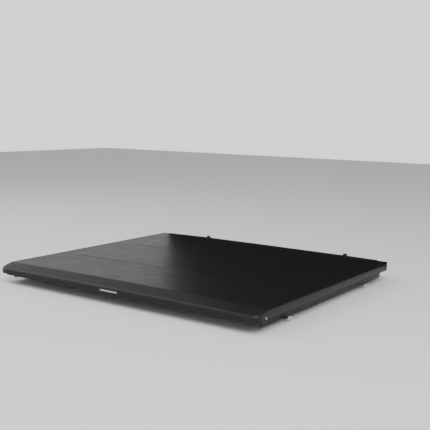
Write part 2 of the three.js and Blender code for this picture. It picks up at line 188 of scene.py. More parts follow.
def dust_group():
    """Pale dust that settles in patches on faces that look up."""
    tree, inlet, outlet, place = new_group("Dust", [("Amount", 0.1), ("Scale", 9.0)], ["Mask"])
    geometry = tree.nodes.new("ShaderNodeNewGeometry")
    split = tree.nodes.new("ShaderNodeSeparateXYZ")
    tree.links.new(geometry.outputs["Normal"], split.inputs[0])
    up = math_node(tree, "MAXIMUM", split.outputs["Z"], 0.0)
    patch = noise(tree, place.outputs["Object"], inlet.outputs["Scale"], 6.0, 0.65)
    patch = math_node(tree, "MULTIPLY", math_node(tree, "SUBTRACT", patch, 0.35), 2.0, True)
    amount = math_node(tree, "MULTIPLY", math_node(tree, "MULTIPLY", patch, up), inlet.outputs["Amount"])
    tree.links.new(amount, outlet.inputs["Mask"])
    return tree


def brushed_group():
    """Fine lines drawn out along X or Y."""
    tree, inlet, outlet, place = new_group("Brushed", [("Along X", 20.0), ("Along Y", 900.0)], ["Lines"])
    join = tree.nodes.new("ShaderNodeCombineXYZ")
    tree.links.new(inlet.outputs["Along X"], join.inputs[0])
    tree.links.new(inlet.outputs["Along Y"], join.inputs[1])
    join.inputs[2].default_value = 900.0
    scaled = tree.nodes.new("ShaderNodeVectorMath")
    scaled.operation = "MULTIPLY"
    tree.links.new(place.outputs["Object"], scaled.inputs[0])
    tree.links.new(join.outputs[0], scaled.inputs[1])
    tree.links.new(noise(tree, scaled.outputs[0], 1.0, 3.0), outlet.inputs["Lines"])
    return tree


def weave_group():
    """Over-and-under threads of a flat weave."""
    tree, inlet, outlet, place = new_group("Weave", [("Threads", 900.0)], ["Height"])
    waves = []
    for axis in ("X", "Z"):
        wave = tree.nodes.new("ShaderNodeTexWave")
        wave.bands_direction = axis
        tree.links.new(place.outputs["Object"], wave.inputs["Vector"])
        tree.links.new(inlet.outputs["Threads"], wave.inputs["Scale"])
        waves.append(wave.outputs["Fac"])
    tree.links.new(math_node(tree, "MAXIMUM", *waves), outlet.inputs["Height"])
    return tree


MAKERS = {"Grain": grain_group, "Dust": dust_group, "Brushed": brushed_group, "Weave": weave_group}


def place_group(tree, name, **values):
    node = tree.nodes.new("ShaderNodeGroup")
    node.node_tree = bpy.data.node_groups.get(name) or MAKERS[name]()
    for key, value in values.items():
        node.inputs[key.replace("_", " ")].default_value = value
    return node.outputs


def mix_colour(tree, factor, low, high):
    node = tree.nodes.new("ShaderNodeMix")
    node.data_type = "RGBA"
    tree.links.new(factor, node.inputs["Factor"])
    for socket, value in ((node.inputs["A"], low), (node.inputs["B"], high)):
        if hasattr(value, "is_output"):
            tree.links.new(value, socket)
        else:
            socket.default_value = (*value, 1.0)
    return node.outputs["Result"]


def finish_material(name, colour, rough, metallic=0.0, spread=0.25, bump=0.1, depth=0.0002, pattern="Grain",
                    dust=0.05, specular=0.5, sheen=0.0, **pattern_values):
    """A material whose tone, gloss and relief vary over the surface."""
    material = bpy.data.materials.new(name)
    material.use_nodes = True
    tree = material.node_tree
    shader = tree.nodes["Principled BSDF"]
    shader.inputs["Metallic"].default_value = metallic
    shader.inputs["Specular IOR Level"].default_value = specular
    shader.inputs["Sheen Weight"].default_value = sheen
    relief = place_group(tree, pattern, **pattern_values)[0]
    tone = place_group(tree, "Grain")["Tone"]
    dark = tuple(c * (1 - spread) for c in colour)
    light = tuple(min(1, c * (1 + spread)) for c in colour)
    base = mix_colour(tree, tone, dark, light)
    mask = place_group(tree, "Dust", Amount=dust)["Mask"]
    tree.links.new(mix_colour(tree, mask, base, (0.3, 0.29, 0.27)), shader.inputs["Base Color"])
    gloss = math_node(tree, "MULTIPLY_ADD", tone, 0.12)
    gloss.node.inputs[2].default_value = rough - 0.06
    tree.links.new(math_node(tree, "ADD", gloss, math_node(tree, "MULTIPLY", mask, 0.5), True),
                   shader.inputs["Roughness"])
    surface = tree.nodes.new("ShaderNodeBump")
    surface.inputs["Strength"].default_value = bump
    surface.inputs["Distance"].default_value = depth
    tree.links.new(relief, surface.inputs["Height"])
    tree.links.new(surface.outputs["Normal"], shader.inputs["Normal"])
    return material


def finish(name):
    """The finish for a material slot, made the first time that it is asked for."""
    own = "finish_" + name
    if own in bpy.data.materials:
        return bpy.data.materials[own]
    colours = bpy.context.scene.cover_colours
    makers = {
        "sheet_vinyl": lambda: finish_material(own, colours.vinyl, 0.44, spread=0.2, bump=0.08, dust=0.004,
                                               specular=0.26),
        "rail_coat": lambda: finish_material(own, colours.rail, 0.46, spread=0.15, bump=0.1,
                                             dust=0.006, specular=0.3, Scale=1800.0),
        "bare_aluminium": lambda: finish_material(own, (0.6, 0.61, 0.62), 0.32, 1.0, 0.08, 0.12,
                                                  pattern="Brushed"),
        "zinc_steel": lambda: finish_material(own, (0.6, 0.6, 0.58), 0.28, 1.0, 0.12, 0.1, Scale=500.0),
        "seal_rubber": lambda: finish_material(own, (0.011, 0.011, 0.012), 0.78, spread=0.3, bump=0.5,
                                               Scale=1400.0),
        "moulded_plastic": lambda: finish_material(own, colours.plastic, 0.4, spread=0.15, bump=0.1,
                                                   dust=0.004, specular=0.3, Scale=1600.0),
        "webbing": lambda: finish_material(own, (0.014, 0.014, 0.015), 0.8, spread=0.3, bump=0.8,
                                           depth=0.0004, pattern="Weave", sheen=0.2, Threads=180.0),
        "woven_label": lambda: finish_material(own, colours.label, 0.75, spread=0.1, bump=0.7,
                                               depth=0.0003, pattern="Weave", dust=0.02, Threads=350.0),
        "label_thread": lambda: finish_material(own, (0.36, 0.36, 0.35), 0.7, spread=0.08, bump=0.7, depth=0.0003,
                                                pattern="Weave", dust=0.02, Threads=350.0),
        "thread": lambda: finish_material(own, (0.018, 0.018, 0.019), 0.6, spread=0.3, bump=0.5, Scale=2500.0),
    }
    return makers[name]()


# ---- Mesh helpers ----
def new_piece(name, vertices, faces, slot, finish_name=None, smooth=True):
    mesh = bpy.data.meshes.new(name)
    mesh.from_pydata([tuple(v) for v in vertices], [], faces)
    mesh.validate()
    mesh.materials.append(finish(finish_name or slot))
    mesh.polygons.foreach_set("use_smooth", [smooth] * len(mesh.polygons))
    piece = bpy.data.objects.new(name, mesh)
    bpy.context.scene.collection.objects.link(piece)
    return piece


def to_plain_mesh(piece):
    """Turns the evaluated piece into a plain mesh and drops its modifiers."""
    graph = bpy.context.evaluated_depsgraph_get()
    mesh = bpy.data.meshes.new_from_object(piece.evaluated_get(graph))
    piece.modifiers.clear()
    piece.data = mesh
    return piece


def softened(node, width, segments=2, angle=28.0):
    """A copy of a rigid CAD node with rounded edges, which stands for it."""
    mesh = bpy.data.meshes.new(node + "_soft")
    work = bmesh.new()
    work.from_mesh(frame["nodes"][node].data)
    bmesh.ops.remove_doubles(work, verts=work.verts, dist=1e-5)
    bmesh.ops.dissolve_limit(work, angle_limit=math.radians(1.0), verts=work.verts, edges=work.edges)
    work.to_mesh(mesh)
    work.free()
    mesh.materials.clear()
    mesh.materials.append(finish(SLOT_OF[node]))
    for polygon in mesh.polygons:
        polygon.use_smooth = True
        polygon.material_index = 0
    piece = bpy.data.objects.new(node + "_piece", mesh)
    bpy.context.scene.collection.objects.link(piece)
    bevel = piece.modifiers.new("Edges", "BEVEL")
    bevel.width = width
    bevel.segments = segments
    bevel.limit_method = "ANGLE"
    bevel.angle_limit = math.radians(angle)
    bevel.use_clamp_overlap = True
    bevel.harden_normals = True
    to_plain_mesh(piece)
    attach(piece, BODY_OF[node])
    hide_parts(node)
    return piece


def crown(x):
    return CROWN * (1 - (x / HALF) ** 2)


def lathe(profile, centre, sides=32, flute=0.0, flutes=0):
    """Rings of a turned shape about a vertical axis; flute cuts grip hollows in it."""
    vertices, faces = [], []
    for radius, z in profile:
        for k in range(sides):
            turn = 2 * math.pi * k / sides
            r = radius * (1 - flute * (0.5 + 0.5 * math.cos(flutes * turn)))
            vertices.append((centre[0] + r * math.cos(turn), centre[1] + r * math.sin(turn), centre[2] + z))
    for ring in range(len(profile) - 1):
        for k in range(sides):
            a, b = ring * sides + k, ring * sides + (k + 1) % sides
            faces.append((a, b, b + sides, a + sides))
    faces.append(tuple(range(sides))[::-1])
    faces.append(tuple(range((len(profile) - 1) * sides, len(profile) * sides)))
    return vertices, faces


# ---- Sheet ----
def relief(x, y, sizes):
    """How far the cloth stands off its plain crowned shape."""
    ridge = sum(sizes.ridge * np.exp(-(((y - b) / RIDGE_SPREAD) ** 2)) for b in BOW_YS)
    stops = [SHEET_FRONT - 0.04, *sorted(BOW_YS, reverse=True), FOLD_Y + 0.03]
    sink = np.zeros_like(y * x)
    for front, rear in zip(stops, stops[1:]):
        share = np.clip((y - rear) / (front - rear), 0, 1)
        sink = sink + sizes.sag * np.sin(np.pi * share) ** 2
    inside = np.clip((SHEET_HALF - TAUT_MARGIN - np.abs(x)) / TAUT_FADE, 0, 1)
    inside = inside * inside * (3 - 2 * inside)
    ripple = BROAD_RIPPLE * np.sin(11 * x + 3 * y) * np.sin(7.3 * y + 1.1)
    ripple = ripple + FINE_RIPPLE * np.sin(23 * x - 9 * y + 2)
    hem = np.clip((np.abs(x) - (SHEET_HALF - sizes.hem)) / HEM_STEP, 0, 1) * HEM_RISE
    curl = np.clip(np.abs(x) - (SHEET_HALF - CURL_WIDTH), 0, None) ** 2 * CURL_RATE
    return (ridge - sink + ripple) * inside + hem - curl


def sheet_rows():
    """Stations along the sheet, evenly spaced from each seam to the next."""
    marks = [SHEET_FRONT, *seams(), FOLD_Y]
    rows = []
    for front, rear in zip(marks, marks[1:]):
        count = max(6, int(round((front - rear) / ROW_PITCH)))
        rows += list(np.linspace(front, rear, count, endpoint=False))
    return np.array(rows + [FOLD_Y])


def seams():
    """Where the sheet is split: halfway along each panel, so that each hinge is inside one piece."""
    ends = [*HINGES, FOLD_Y]
    middles = [(a + b) / 2 for a, b in zip(ends, ends[1:])]
    return [HINGES[0] + (HINGES[0] - middles[0]), *middles]


def columns(half):
    inner = np.linspace(-(half - 0.034), half - 0.034, 61)
    rim = half - np.array([0.03, 0.0275, 0.0262, 0.0255, 0.024, 0.018, 0.012, 0.006, 0.0045, 0.003, 0.0015, 0.0])
    return np.concatenate([-rim[::-1], inner, rim])


def surface_normals(points):
    along, across = np.gradient(points, axis=0), np.gradient(points, axis=1)
    normals = np.cross(across, along)
    normals /= np.linalg.norm(normals, axis=2, keepdims=True)
    return normals * np.sign(normals[..., 2:].mean() or 1)


def slab(name, points, normals, thick, slot, finish_name=None):
    """A closed thin piece under a grid of points, with true normals on its two broad faces."""
    rows, cols = points.shape[:2]
    count = rows * cols
    top, under = points.reshape(-1, 3), (points - normals * thick).reshape(-1, 3)
    index = np.arange(count).reshape(rows, cols)
    a, b, c, d = index[:-1, :-1], index[1:, :-1], index[1:, 1:], index[:-1, 1:]
    broad = np.stack([a, b, c, d], -1).reshape(-1, 4)
    ring = [*index[0, :], *index[1:, -1], *index[-1, -2::-1], *index[-2:0:-1, 0]]
    rim = [(p, q, q + count, p + count) for p, q in zip(ring, ring[1:] + ring[:1])]
    faces = [tuple(f) for f in broad.tolist()] + [tuple(int(i) + count for i in f[::-1]) for f in broad.tolist()]
    faces += [tuple(int(i) for i in f) for f in rim]
    if float(np.dot(np.cross(points[1, 0] - points[0, 0], points[0, 1] - points[0, 0]), normals[0, 0])) < 0:
        faces = [f[::-1] for f in faces]
    piece = new_piece(name, np.concatenate([top, under]).tolist(), faces, slot, finish_name)
    mesh = piece.data
    both = np.concatenate([normals.reshape(-1, 3), -normals.reshape(-1, 3)])
    corner = []
    broad_count = 2 * len(broad)
    for polygon in mesh.polygons:
        for vertex in polygon.vertices:
            corner.append(both[vertex] if polygon.index < broad_count else polygon.normal)
    mesh.normals_split_custom_set([tuple(n) for n in corner])
    return piece


def top_grid(sizes):
    rows, cols = sheet_rows(), columns(SHEET_HALF)
    x, y = np.meshgrid(cols, rows)
    return rows, np.stack([x, y, SHEET_TOP + crown(x) + relief(x, y, sizes)], -1)


def slope_top(x, y, inset):
    """Height of the rear slope, rounded down over its outer edge; inset is the distance in from that edge."""
    short = np.clip(SHOULDER - inset, 0, SHOULDER)
    fall = SHOULDER - np.sqrt(SHOULDER ** 2 - short ** 2)
    plain = SHEET_TOP - SLOPE * (FOLD_Y - y) - fall
    return plain + crown(x) * (plain - SKIRT_LOW.z) / (SHEET_TOP - SKIRT_LOW.z)


def skirt_grid():
    """The skirt from the fold down its slope, round its shoulder and down its drop."""
    across = np.linspace(-SKIRT_HALF, SKIRT_HALF, 81)
    drop_y = SKIRT_LOW.y
    arc = SHOULDER * (1 - np.sin(np.linspace(0, math.pi / 2, 9)))
    y = np.concatenate([np.linspace(FOLD_Y, drop_y + SHOULDER, 14)[:-1], drop_y + arc])
    x, y = np.meshgrid(across, y)
    slope = np.stack([x, y, slope_top(x, y, y - drop_y)], -1)
    x, share = np.meshgrid(across, np.linspace(0, 1, 9)[1:])
    low = slope[-1, :, 2] * (1 - share) + SKIRT_LOW.z * share
    bulge = 0.0006 * np.clip((share - 0.72) / 0.04, 0, 1)
    return np.concatenate([slope, np.stack([x, drop_y - bulge, low], -1)])


class COVER_OT_sheet(bpy.types.Operator):
    """Makes the stretched sheet in pieces split halfway along each panel, and its skirt"""
    bl_idname = "cover.sheet"
    bl_label = "Sheet"

    def execute(self, context):
        sizes = context.scene.cover_sizes
        rows, points = top_grid(sizes)
        normals = surface_normals(points)
        marks = [SHEET_FRONT, *seams(), FOLD_Y]
        nodes = ["tarp_front", *["tarp_panel_%02d" % (i + 1) for i in range(len(PANEL_BODIES))]]
        for i, (front, rear) in enumerate(zip(marks, marks[1:])):
            keep = [k for k, y in enumerate(rows) if rear - 1e-7 <= y <= front + 1e-7]
            piece = slab("sheet_%02d" % i, points[keep], normals[keep], sizes.cloth, "sheet_vinyl")
            if i == 0:
                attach(piece, "rail_frame")
            elif i < len(marks) - 2:
                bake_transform(piece)
            else:
                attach(piece, "sheet_tail")
            if i < len(nodes):
                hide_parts(nodes[i])
        self.make_skirt(sizes)
        return {"FINISHED"}

    def make_skirt(self, sizes):
        points = skirt_grid()
        along, across = np.gradient(points, axis=0), np.gradient(points, axis=1)
        normals = np.cross(along, across)
        normals /= np.linalg.norm(normals, axis=2, keepdims=True)
        normals *= np.sign(normals[0, 40, 2])
        piece = slab("skirt", points, normals, sizes.cloth, "sheet_vinyl")
        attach(piece, "sheet_tail")
        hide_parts("rear_skirt")


# ---- Repeated details by Geometry Nodes ----
def row_tree(name, material, segments, rings):
    """Rounded beads set at an even pitch along a path."""
    tree = bpy.data.node_groups.new(name, "GeometryNodeTree")
    face = tree.interface
    face.new_socket("Geometry", in_out="INPUT", socket_type="NodeSocketGeometry")
    for label, value in (("Pitch", 0.0055), ("Length", 0.0036), ("Width", 0.0007), ("Height", 0.0005)):
        face.new_socket(label, in_out="INPUT", socket_type="NodeSocketFloat").default_value = value
    face.new_socket("Geometry", in_out="OUTPUT", socket_type="NodeSocketGeometry")
    node, link = tree.nodes.new, tree.links.new
    inlet, outlet = node("NodeGroupInput"), node("NodeGroupOutput")
    curve, sample = node("GeometryNodeMeshToCurve"), node("GeometryNodeResampleCurve")
    sample.mode = "LENGTH"
    tangent, align = node("GeometryNodeInputTangent"), node("FunctionNodeAlignRotationToVector")
    align.axis = "X"
    bead, size = node("GeometryNodeMeshUVSphere"), node("ShaderNodeCombineXYZ")
    bead.inputs["Segments"].default_value = segments
    bead.inputs["Rings"].default_value = rings
    bead.inputs["Radius"].default_value = 0.5
    instances, real = node("GeometryNodeInstanceOnPoints"), node("GeometryNodeRealizeInstances")
    paint = node("GeometryNodeSetMaterial")
    paint.inputs["Material"].default_value = material
    link(inlet.outputs["Geometry"], curve.inputs[0])
    link(curve.outputs[0], sample.inputs["Curve"])
    link(inlet.outputs["Pitch"], sample.inputs["Length"])
    link(tangent.outputs[0], align.inputs["Vector"])
    for axis, label in enumerate(("Length", "Width", "Height")):
        link(inlet.outputs[label], size.inputs[axis])
    link(sample.outputs[0], instances.inputs["Points"])
    link(bead.outputs["Mesh"], instances.inputs["Instance"])
    link(align.outputs[0], instances.inputs["Rotation"])
    link(size.outputs[0], instances.inputs["Scale"])
    link(instances.outputs[0], real.inputs[0])
    link(real.outputs[0], paint.inputs["Geometry"])
    link(paint.outputs[0], outlet.inputs["Geometry"])
    return tree


def beads(name, paths, material, slot, segments=6, rings=4, **values):
    """One piece of beads along paths, each a list of points."""
    tree_name = "Beads " + material
    tree = bpy.data.node_groups.get(tree_name) or row_tree(tree_name, finish(material), segments, rings)
    mesh = bpy.data.meshes.new(name)
    vertices, edges = [], []
    for path in paths:
        start = len(vertices)
        vertices += [tuple(p) for p in path]
        edges += [(start + k, start + k + 1) for k in range(len(path) - 1)]
    mesh.from_pydata(vertices, edges, [])
    piece = bpy.data.objects.new(name, mesh)
    bpy.context.scene.collection.objects.link(piece)
    modifier = piece.modifiers.new("Beads", "NODES")
    modifier.node_group = tree
    keys = {s.name: s.identifier for s in tree.interface.items_tree
            if s.item_type == "SOCKET" and s.in_out == "INPUT"}
    for label, value in values.items():
        modifier[keys[label]] = value
    to_plain_mesh(piece)
    if not piece.data.polygons:
        raise RuntimeError(name + " came out empty")
    piece.data.polygons.foreach_set("use_smooth", [True] * len(piece.data.polygons))
    return piece


def heads_tree(name, material):
    """A turned screw head stood upright on each point."""
    tree = bpy.data.node_groups.new(name, "GeometryNodeTree")
    face = tree.interface
    face.new_socket("Geometry", in_out="INPUT", socket_type="NodeSocketGeometry")
    face.new_socket("Head", in_out="INPUT", socket_type="NodeSocketObject")
    face.new_socket("Size", in_out="INPUT", socket_type="NodeSocketFloat").default_value = 1.0
    face.new_socket("Geometry", in_out="OUTPUT", socket_type="NodeSocketGeometry")
    node, link = tree.nodes.new, tree.links.new
    inlet, outlet = node("NodeGroupInput"), node("NodeGroupOutput")
    head, instances = node("GeometryNodeObjectInfo"), node("GeometryNodeInstanceOnPoints")
    real, paint = node("GeometryNodeRealizeInstances"), node("GeometryNodeSetMaterial")
    paint.inputs["Material"].default_value = material
    link(inlet.outputs["Head"], head.inputs["Object"])
    link(inlet.outputs["Geometry"], instances.inputs["Points"])
    link(head.outputs["Geometry"], instances.inputs["Instance"])
    link(inlet.outputs["Size"], instances.inputs["Scale"])
    link(instances.outputs[0], real.inputs[0])
    link(real.outputs[0], paint.inputs["Geometry"])
    link(paint.outputs[0], outlet.inputs["Geometry"])
    return tree


def screw_row(name, points, profile, slot, sides=18):
    """One piece of like screw heads, turned from a profile and set on points."""
    shape, spots = bpy.data.meshes.new("screw_head"), bpy.data.meshes.new(name)
    vertices, faces = lathe(profile, (0, 0, 0), sides)
    shape.from_pydata(vertices, [], faces)
    spots.from_pydata(points, [], [])
    head, piece = bpy.data.objects.new("screw_head", shape), bpy.data.objects.new(name, spots)
    for item in (head, piece):
        bpy.context.scene.collection.objects.link(item)
    modifier = piece.modifiers.new("Heads", "NODES")
    modifier.node_group = heads_tree("Screw heads", finish(slot))
    keys = {s.name: s.identifier for s in modifier.node_group.interface.items_tree
            if s.item_type == "SOCKET" and s.in_out == "INPUT"}
    modifier[keys["Head"]] = head
    modifier[keys["Size"]] = 1.0
    to_plain_mesh(piece)
    bpy.data.objects.remove(head)
    if not piece.data.polygons:
        raise RuntimeError(name + " came out empty")
    piece.data.polygons.foreach_set("use_smooth", [True] * len(piece.data.polygons))
    return piece


class COVER_OT_stitching(bpy.types.Operator):
    """Sews the hems: down both edges of the sheet, across its front and fold, and along the foot of the skirt"""
    bl_idname = "cover.stitching"
    bl_label = "Stitching"

    def execute(self, context):
        sizes = context.scene.cover_sizes
        rows, _ = top_grid(sizes)
        marks = [SHEET_FRONT, *seams(), FOLD_Y]
        line = SHEET_HALF - sizes.hem + 0.004
        for i, (front, rear) in enumerate(zip(marks, marks[1:])):
            paths = []
            for side in (-1, 1):
                y = np.array([v for v in rows if rear + 0.001 <= v <= front - 0.001])
                x = np.full_like(y, side * line)
                z = SHEET_TOP + crown(x) + relief(x, y, sizes) + STITCH_LIFT
                paths.append(np.stack([x, y, z], -1))
            if i == len(marks) - 2:
                paths.append(self.across(FOLD_Y + 0.006, SHEET_HALF - 0.03, sizes))
            if i == 0:
                paths.append(self.across(SHEET_FRONT - 0.034, SHEET_HALF - 0.03, sizes))
            piece = beads("stitches_%02d" % i, paths, "thread", "sheet_vinyl", Pitch=sizes.stitch)
            if 0 < i < len(marks) - 2:
                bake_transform(piece)
            else:
                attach(piece, "rail_frame" if i == 0 else "sheet_tail")
        y, z = SKIRT_LOW.y - 0.0007, SKIRT_LOW.z + 0.0065
        hem = [(x, y, z + crown(x) * 0.1) for x in np.linspace(-SKIRT_HALF + 0.01, SKIRT_HALF - 0.01, 60)]
        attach(beads("stitches_skirt", [hem], "thread", "sheet_vinyl", Pitch=sizes.stitch), "sheet_tail")
        return {"FINISHED"}

    def across(self, y, half, sizes):
        x = np.linspace(-half, half, 90)
        y = np.full_like(x, y)
        return np.stack([x, y, SHEET_TOP + crown(x) + relief(x, y, sizes) + STITCH_LIFT], -1)


# ---- Rigid pieces ----
class COVER_OT_rails(bpy.types.Operator):
    """Makes the side rails, header rail, seals and hook tapes"""
    bl_idname = "cover.rails"
    bl_label = "Rails and seals"

    def execute(self, context):
        width = context.scene.cover_sizes.edge
        for node in ("rail_left", "rail_right", "header_rail", "front_clamp_strip"):
            softened(node, width)
        for node in ("rail_seal_left", "rail_seal_right", "header_seal", "skirt_seal"):
            softened(node, 0.0009)
        for node in ("hook_strip_left", "hook_strip_right"):
            softened(node, 0.0003)
        self.strip_screws()
        return {"FINISHED"}

    def strip_screws(self):
        low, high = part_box("front_clamp_strip")
        y = (low.y + high.y) / 2
        top = high.z - CROWN
        knobs = [(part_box("header_knob_" + s)[0].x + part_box("header_knob_" + s)[1].x) / 2 for s, _ in SIDES]
        row = np.arange(-STRIP_SCREW_SPAN, STRIP_SCREW_SPAN + 0.01, STRIP_SCREW_PITCH)
        xs = [x for x in row if min(abs(x - k) for k in knobs) > KNOB_CLEARANCE]
        points = [(float(x), y, top + crown(x)) for x in xs]
        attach(screw_row("strip_screws", points, STRIP_SCREW_PROFILE, "zinc_steel"), "rail_frame")


class COVER_OT_corners(bpy.types.Operator):
    """Makes the corner caps, their screws and the corner brackets"""
    bl_idname = "cover.corners"
    bl_label = "Corners"

    def execute(self, context):
        for side_name, side in SIDES:
            self.rear_cap(side_name, side)
            softened("front_corner_cap_" + side_name, 0.0018, 3, 20.0)
            softened("corner_bracket_" + side_name, 0.0006)
            self.cap_screw(side_name, side)
        return {"FINISHED"}

    def rear_cap(self, side_name, side):
        """A moulding that carries the slope and shoulder of the skirt round to the side rail."""
        node = "rear_corner_cap_" + side_name
        low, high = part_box(node)
        inner = min(abs(low.x), abs(high.x))
        rear, front, round_by = low.y + 0.0008, high.y, CAP_ROUND
        turns = np.linspace(0, 1, 15)
        bend = [(HALF - round_by * (1 - t) ** 2, rear + round_by * t * t) for t in turns]
        edge = np.array([(inner, rear), ((inner + HALF - round_by) / 2, rear), *bend,
                         *[(HALF, y) for y in np.linspace(rear + round_by, front, 8)[1:]]])
        tangent = np.gradient(edge, axis=0)
        inward = np.stack([-tangent[:, 1], tangent[:, 0]], -1)
        inward /= np.linalg.norm(inward, axis=1, keepdims=True)
        inward[0], inward[-1] = (0, 1), (-1, 0)
        insets = SHOULDER * (1 - np.sin(np.linspace(math.pi / 2, 0, 8)))
        corner = np.array([inner, front])
        columns_made = []
        for start, turn in zip(edge, inward):
            flat = [start + turn * d for d in insets]
            flat += [flat[-1] * (1 - t) + corner * t for t in np.linspace(0, 1, 7)[1:]]
            far = [*insets, *[SHOULDER] * 6]
            tops = [(x, y, float(slope_top(x, y, d))) for (x, y), d in zip(flat, far)]
            wall = [(start[0], start[1], low.z + 0.0006 + (tops[0][2] - low.z - 0.0006) * t) for t in (0, 0.5)]
            foot = start + turn * 0.0006
            columns_made.append([(foot[0], foot[1], low.z), *wall, *tops])
        count = len(columns_made[0])
        vertices = [(side * x, y, z) for column in columns_made for x, y, z in column]
        faces = []
        for c in range(len(columns_made) - 1):
            for r in range(count - 1):
                a = c * count + r
                faces.append((a, a + count, a + count + 1, a + 1))
        under = len(vertices)
        vertices.append((side * corner[0], corner[1], low.z))
        last = (len(columns_made) - 1) * count
        faces.append((*range(count), under))
        faces.append((*range(last, last + count), under))
        faces.append((*[c * count for c in range(len(columns_made))], under))
        piece = new_piece(node + "_piece", vertices, faces, "moulded_plastic")
        work = bmesh.new()
        work.from_mesh(piece.data)
        bmesh.ops.remove_doubles(work, verts=work.verts, dist=1e-6)
        bmesh.ops.recalc_face_normals(work, faces=work.faces)
        for line in work.edges:
            line.smooth = len(line.link_faces) == 2 and line.calc_face_angle(0) < math.radians(35)
        work.to_mesh(piece.data)
        work.free()
        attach(piece, BODY_OF[node])
        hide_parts(node)

    def cap_screw(self, side_name, side):
        node = "rear_cap_screw_" + side_name
        low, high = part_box(node)
        y, z = (low.y + high.y) / 2, (low.z + high.z) / 2
        proud = 0.0016
        reach = high.x - low.x + proud
        profile = [(0.003, 0.0), (0.003, reach - 0.0027), (0.005, reach - 0.0027), (0.005, reach - 0.0009),
                   (0.004, reach), (0.0025, reach), (0.0025, reach - 0.0016), (0.0004, reach - 0.0018)]
        vertices, faces = lathe(profile, (0, 0, 0), 28)
        start = low.x if side > 0 else high.x
        placed = [(start + side * v[2], y + v[0] * side, z + v[1]) for v in vertices]
        piece = new_piece(node + "_piece", placed, faces, "zinc_steel")
        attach(piece, BODY_OF[node])
        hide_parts(node)


class COVER_OT_header(bpy.types.Operator):
    """Makes the header's knobs and the storage straps with their buckles"""
    bl_idname = "cover.header"
    bl_label = "Header fittings"

    def execute(self, context):
        for side_name, _ in SIDES:
            node = "header_knob_" + side_name
            low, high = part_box(node)
            centre = ((low.x + high.x) / 2, (low.y + high.y) / 2, low.z)
            tall = high.z - low.z
            profile = [(0.004, 0), (0.004, tall - 0.012), (0.013, tall - 0.012), (0.0144, tall - 0.0108),
                       (0.0144, tall - 0.009), (0.0132, tall - 0.0075), (0.013, tall - 0.003),
                       (0.0122, tall - 0.0011), (0.0104, tall), (0.006, tall), (0.0055, tall - 0.0008),
                       (0.0004, tall - 0.0008)]
            vertices, faces = lathe(profile, centre, 48, 0.07, 8)
            piece = new_piece(node + "_piece", vertices, faces, "moulded_plastic")
            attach(piece, BODY_OF[node])
            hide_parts(node)
            softened("storage_strap_" + side_name, 0.0004)
            softened("strap_buckle_" + side_name, 0.0012, 3)
        return {"FINISHED"}


class COVER_OT_bows(bpy.types.Operator):
    """Makes the two crossbows and their shoes"""
    bl_idname = "cover.bows"
    bl_label = "Bows"

    def execute(self, context):
        for end in ("rear", "front"):
            softened("bow_" + end, 0.0007)
            for side_name, _ in SIDES:
                softened("bow_shoe_%s_%s" % (end, side_name), 0.0012, 3)
        return {"FINISHED"}


class COVER_OT_rear_bar(bpy.types.Operator):
    """Makes the rear bar, its end blocks, latches and the blank label"""
    bl_idname = "cover.rear_bar"
    bl_label = "Rear bar and latches"

    def execute(self, context):
        softened("rear_bar", 0.0007)
        for side_name, _ in SIDES:
            softened("bar_end_block_" + side_name, 0.001)
            softened("latch_" + side_name, 0.0014, 3)
        softened("label_tab", 0.0003)
        low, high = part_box("label_tab")
        inset = 0.0022
        corners = [(low.x + inset, low.z + inset), (high.x - inset, low.z + inset),
                   (high.x - inset, high.z - inset), (low.x + inset, high.z - inset)]
        path = [(x, low.y - 0.0001, z) for x, z in corners + corners[:1]]
        half, rise = 0.056, 0.0032
        x, z = np.meshgrid(np.linspace(-half, half, 25), np.linspace(-rise, rise, 5))
        y = np.full_like(x, low.y - 0.0004)
        points = np.stack([x + (low.x + high.x) / 2, y, z + (low.z + high.z) / 2], -1)
        outward = np.zeros_like(points)
        outward[..., 1] = -1
        stripe = slab("label_stripe", points, outward, 0.0006, "woven_label", "label_thread")
        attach(stripe, "sheet_tail")
        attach(beads("stitches_label", [path], "thread", "woven_label", Pitch=0.004, Length=0.0026), "sheet_tail")
        return {"FINISHED"}


